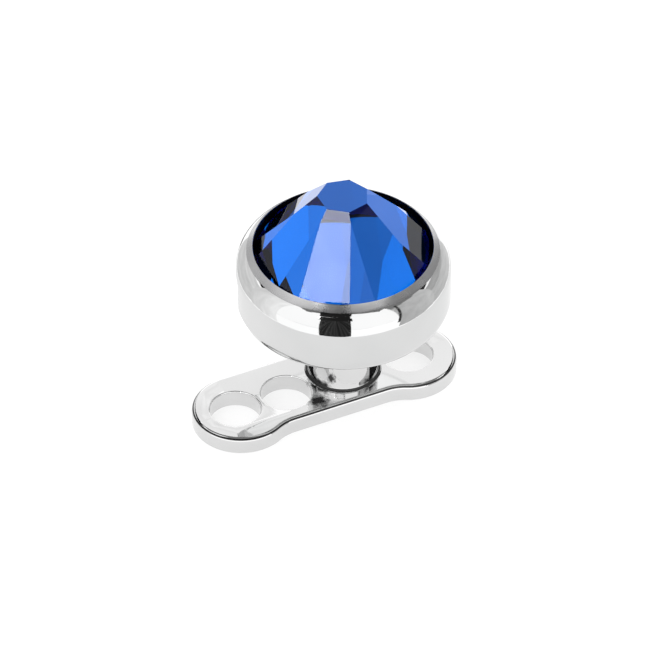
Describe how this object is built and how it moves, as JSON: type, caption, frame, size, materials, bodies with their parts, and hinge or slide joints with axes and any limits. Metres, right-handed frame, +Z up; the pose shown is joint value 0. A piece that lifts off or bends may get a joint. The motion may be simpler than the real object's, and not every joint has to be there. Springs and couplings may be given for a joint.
{
  "type": "dermal anchor with gem top",
  "caption": "Micro dermal anchor: a thin foot with round holes and a post, and a round polished cup on it that holds a blue faceted stone and screws off.",
  "frame": {"origin": "on the post's axis, at the underside of the foot", "axes": "+X along the foot towards its end with a single hole, +Z up along the post towards the stone, +Y towards the foot's straight edge"},
  "size_m": [0.0066, 0.005, 0.0057],
  "materials": {
    "anchor_steel": "mirror-polished surgical steel",
    "cup_steel": "mirror-polished surgical steel",
    "blue_crystal": "cut and polished blue crystal glass with a mirror foil behind it"
  },
  "bodies": {
    "foot_and_post": {"anchor": "anchor_steel"},
    "gem_top": {"gem_cup": "cup_steel", "stone": "blue_crystal"}
  },
  "joints": [
    {"name": "top_lift", "type": "slide", "parent": "foot_and_post", "child": "gem_top", "axis": [0, 0, 1], "range_m": [0, 0.0018]}
  ]
}
